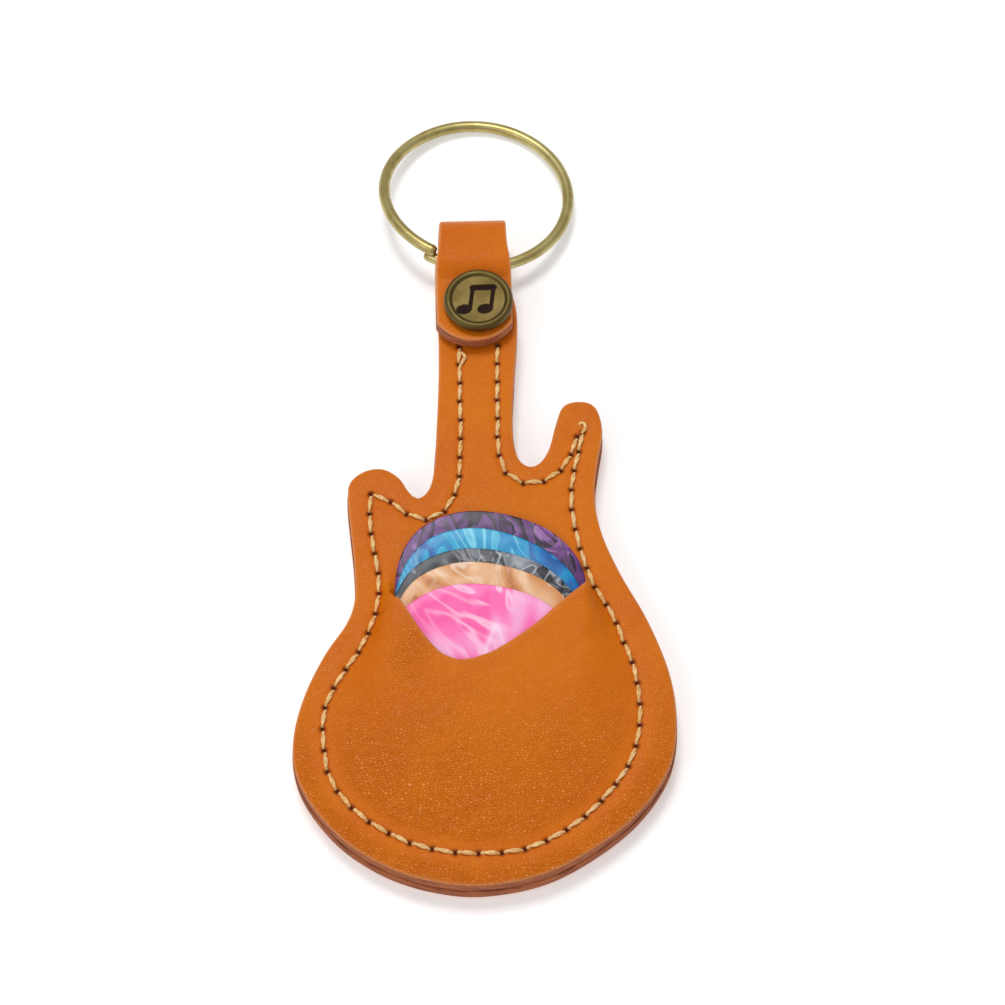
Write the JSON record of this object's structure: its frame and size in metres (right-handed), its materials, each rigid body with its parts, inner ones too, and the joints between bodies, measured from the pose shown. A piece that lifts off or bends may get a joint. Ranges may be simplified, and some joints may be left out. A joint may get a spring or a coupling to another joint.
{
  "type": "pick holder",
  "caption": "Guitar-shaped leather pouch that holds a fan of picks in a V-shaped slit, with a snap strap folded round a wire key ring.",
  "frame": {"origin": "middle of the footprint's bounding box, at the underside of the back leather", "axes": "+Y from the bottom of the guitar-shaped body up its neck to the key ring, +X to the right seen from the front, +Z out of the front face"},
  "size_m": [0.0512, 0.12, 0.0097],
  "materials": {
    "tan_leather": "smooth orange-tan leather with a fine grain and darker cut edges",
    "waxed_thread": "sand-coloured waxed thread",
    "antique_brass": "darkened antique brass",
    "spring_steel": "bright wire",
    "pick_purple": "marbled purple celluloid",
    "pick_cyan": "marbled cyan and blue celluloid",
    "pick_grey": "marbled dark grey celluloid",
    "pick_tan": "marbled peach and tan celluloid",
    "pick_pink": "marbled pink celluloid"
  },
  "bodies": {
    "holder": {"back_panel": "tan_leather", "front_panel": "tan_leather", "strap_bend": "tan_leather", "front_thread_body": "waxed_thread", "front_thread_neck": "waxed_thread", "back_thread_body": "waxed_thread", "back_thread_neck": "waxed_thread", "thread_end_neck": "waxed_thread", "thread_end_horn": "waxed_thread", "snap_stud": "antique_brass", "snap_eyelet": "antique_brass"},
    "ring": {"key_ring": "antique_brass"},
    "strap": {"strap_tab": "tan_leather", "snap_cap": "antique_brass", "snap_socket": "antique_brass", "snap_spring": "spring_steel"},
    "purple_pick": {"pick_purple": "pick_purple"},
    "cyan_pick": {"pick_cyan": "pick_cyan"},
    "grey_pick": {"pick_grey": "pick_grey"},
    "tan_pick": {"pick_tan": "pick_tan"},
    "pink_pick": {"pick_pink": "pick_pink"}
  },
  "joints": [
    {"name": "ring_swing", "type": "hinge", "parent": "holder", "child": "ring", "pos_m": [-0.00008, 0.03255, 0.0046], "axis": [1, 0, 0], "range_deg": [0, 183]},
    {"name": "strap_open", "type": "hinge", "parent": "holder", "child": "strap", "pos_m": [-0.00008, 0.03855, 0.0046], "axis": [-1, 0, 0], "range_deg": [0, 100], "deforming": ["strap_bend"]},
    {"name": "purple_pick_slide", "type": "slide", "parent": "holder", "child": "purple_pick", "axis": [-0.1736, 0.9789, 0.1081], "range_m": [0, 0.011]},
    {"name": "cyan_pick_slide", "type": "slide", "parent": "holder", "child": "cyan_pick", "axis": [-0.0349, 0.9934, 0.1097], "range_m": [0, 0.014]},
    {"name": "grey_pick_slide", "type": "slide", "parent": "holder", "child": "grey_pick", "axis": [0.0698, 0.9915, 0.1095], "range_m": [0, 0.0175]},
    {"name": "tan_pick_slide", "type": "slide", "parent": "holder", "child": "tan_pick", "axis": [0.0698, 0.9915, 0.1095], "range_m": [0, 0.02]},
    {"name": "pink_pick_slide", "type": "slide", "parent": "holder", "child": "pink_pick", "axis": [0.0872, 0.9902, 0.1093], "range_m": [0, 0.0235]}
  ]
}
